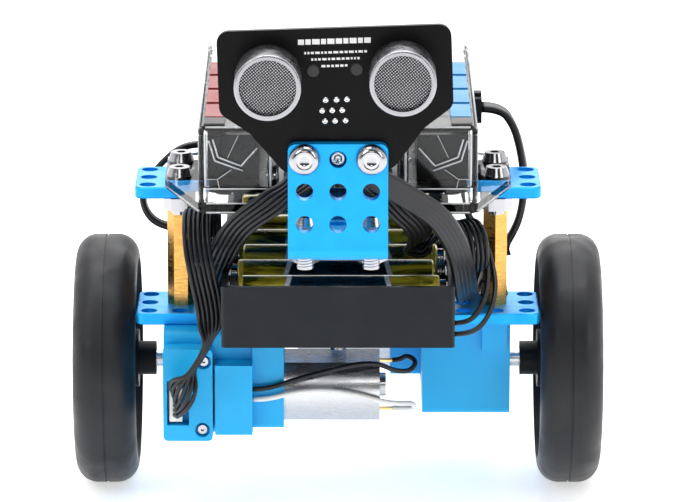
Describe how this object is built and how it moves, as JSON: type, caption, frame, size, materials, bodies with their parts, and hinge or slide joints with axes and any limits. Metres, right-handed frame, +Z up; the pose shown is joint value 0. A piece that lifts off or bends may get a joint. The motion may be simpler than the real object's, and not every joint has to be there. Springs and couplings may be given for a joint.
{
  "type": "two wheel robot car",
  "caption": "Self-balancing robot car: geared motors and wheels under drilled plates, battery holder, clear controller case and a front distance sensor.",
  "frame": {"origin": "on the ground under the middle of the bounding box", "axes": "+Z up, -Y the front that the sensor faces, X along the axle with +X on the right of a viewer who looks at the front"},
  "size_m": [0.1352, 0.1518, 0.1391],
  "materials": {
    "anodised_blue": "satin anodised blue",
    "brass": "satin brass",
    "steel": "polished zinc plated steel",
    "motor_steel": "satin steel",
    "blue_plastic": "moulded blue plastic",
    "clear_plastic": "clear moulded plastic",
    "black_plastic": "moulded black plastic",
    "black_rubber": "smooth black rubber",
    "black_board": "black solder mask",
    "white_plastic": "moulded white plastic",
    "red_label": "red",
    "blue_label": "blue",
    "grey_label": "grey",
    "gold_cell": "translucent gold and black sleeve",
    "black_wire": "black cable insulation",
    "white_wire": "white cable insulation",
    "silver": "satin aluminium",
    "gear_plastic": "natural gear plastic"
  },
  "bodies": {
    "chassis": {"battery_cells": "gold_cell", "battery_contacts": "steel", "battery_holder": "black_plastic", "battery_leads": "black_wire", "blue_tags": "blue_label", "board_parts": "black_plastic", "cable_plugs": "black_plastic", "case_base": "clear_plastic", "case_cover": "clear_plastic", "connector_strip": "anodised_blue", "controller_board": "black_board", "cover_screws": "steel", "encoder_covers": "blue_plastic", "encoder_sockets": "white_plastic", "frame_nuts": "steel", "frame_screws": "steel", "grey_tags": "grey_label", "left_gearbox_inner": "blue_plastic", "left_gearbox_outer": "blue_plastic", "left_ribbon": "black_wire", "lower_plate": "anodised_blue", "motor_cans": "motor_steel", "motor_end_bells": "motor_steel", "motor_lead_black": "black_wire", "motor_lead_white": "white_wire", "motor_sockets": "white_plastic", "motor_terminals": "brass", "port_sockets": "black_plastic", "rear_sockets": "silver", "red_tags": "red_label", "right_gearbox_inner": "blue_plastic", "right_gearbox_outer": "blue_plastic", "right_ribbon": "black_wire", "ring_leds": "white_plastic", "sensor_board": "black_board", "sensor_bracket": "anodised_blue", "sensor_lead": "black_wire", "sensor_rivets": "black_plastic", "sensor_screws": "steel", "sensor_socket": "black_plastic", "side_lead": "black_wire", "standoffs": "brass", "switch_body": "silver", "transducer_meshes": "black_plastic", "transducers": "silver", "upper_plate": "anodised_blue"},
    "switch": {"switch_knob": "black_plastic"},
    "reset": {"reset_button": "white_plastic"},
    "left_wheel": {"left_tyre": "black_rubber", "left_wheel_hub": "black_plastic", "left_output_shaft": "motor_steel"},
    "left_rotor": {"left_rotor": "motor_steel"},
    "left_first_gear": {"left_first_gear": "gear_plastic"},
    "left_second_gear": {"left_second_gear": "gear_plastic"},
    "right_wheel": {"right_tyre": "black_rubber", "right_wheel_hub": "black_plastic", "right_output_shaft": "motor_steel"},
    "right_rotor": {"right_rotor": "motor_steel"},
    "right_first_gear": {"right_first_gear": "gear_plastic"},
    "right_second_gear": {"right_second_gear": "gear_plastic"}
  },
  "joints": [
    {"name": "left_wheel_spin", "type": "hinge", "parent": "chassis", "child": "left_wheel", "pos_m": [0, 0.02237, 0.03225], "axis": [1, 0, 0], "continuous": true},
    {"name": "left_rotor_spin", "type": "hinge", "parent": "chassis", "child": "left_rotor", "pos_m": [0, -0.00232, 0.03225], "axis": [1, 0, 0], "continuous": true},
    {"name": "left_first_gear_spin", "type": "hinge", "parent": "chassis", "child": "left_first_gear", "pos_m": [0, 0.00562, 0.03602], "axis": [1, 0, 0], "continuous": true},
    {"name": "left_second_gear_spin", "type": "hinge", "parent": "chassis", "child": "left_second_gear", "pos_m": [0, 0.01443, 0.03602], "axis": [1, 0, 0], "continuous": true},
    {"name": "right_wheel_spin", "type": "hinge", "parent": "chassis", "child": "right_wheel", "pos_m": [0, 0.02237, 0.03225], "axis": [-1, 0, 0], "continuous": true},
    {"name": "right_rotor_spin", "type": "hinge", "parent": "chassis", "child": "right_rotor", "pos_m": [0, 0.04707, 0.03225], "axis": [-1, 0, 0], "continuous": true},
    {"name": "right_first_gear_spin", "type": "hinge", "parent": "chassis", "child": "right_first_gear", "pos_m": [0, 0.03913, 0.03602], "axis": [-1, 0, 0], "continuous": true},
    {"name": "right_second_gear_spin", "type": "hinge", "parent": "chassis", "child": "right_second_gear", "pos_m": [0, 0.03033, 0.03602], "axis": [-1, 0, 0], "continuous": true},
    {"name": "switch_slide", "type": "slide", "parent": "chassis", "child": "switch", "axis": [1, 0, 0], "range_m": [0, 0.002]},
    {"name": "reset_press", "type": "slide", "parent": "chassis", "child": "reset", "axis": [0, 0, -1], "range_m": [0, 0.0006], "stiffness_N_per_m": 600, "springref_m": -0.0004}
  ],
  "couplings": [
    {"joint": "left_second_gear_spin", "follows": "left_wheel_spin", "ratio": -3.4},
    {"joint": "left_first_gear_spin", "follows": "left_wheel_spin", "ratio": 11.56},
    {"joint": "left_rotor_spin", "follows": "left_wheel_spin", "ratio": -39.304},
    {"joint": "right_second_gear_spin", "follows": "right_wheel_spin", "ratio": -3.4},
    {"joint": "right_first_gear_spin", "follows": "right_wheel_spin", "ratio": 11.56},
    {"joint": "right_rotor_spin", "follows": "right_wheel_spin", "ratio": -39.304}
  ]
}
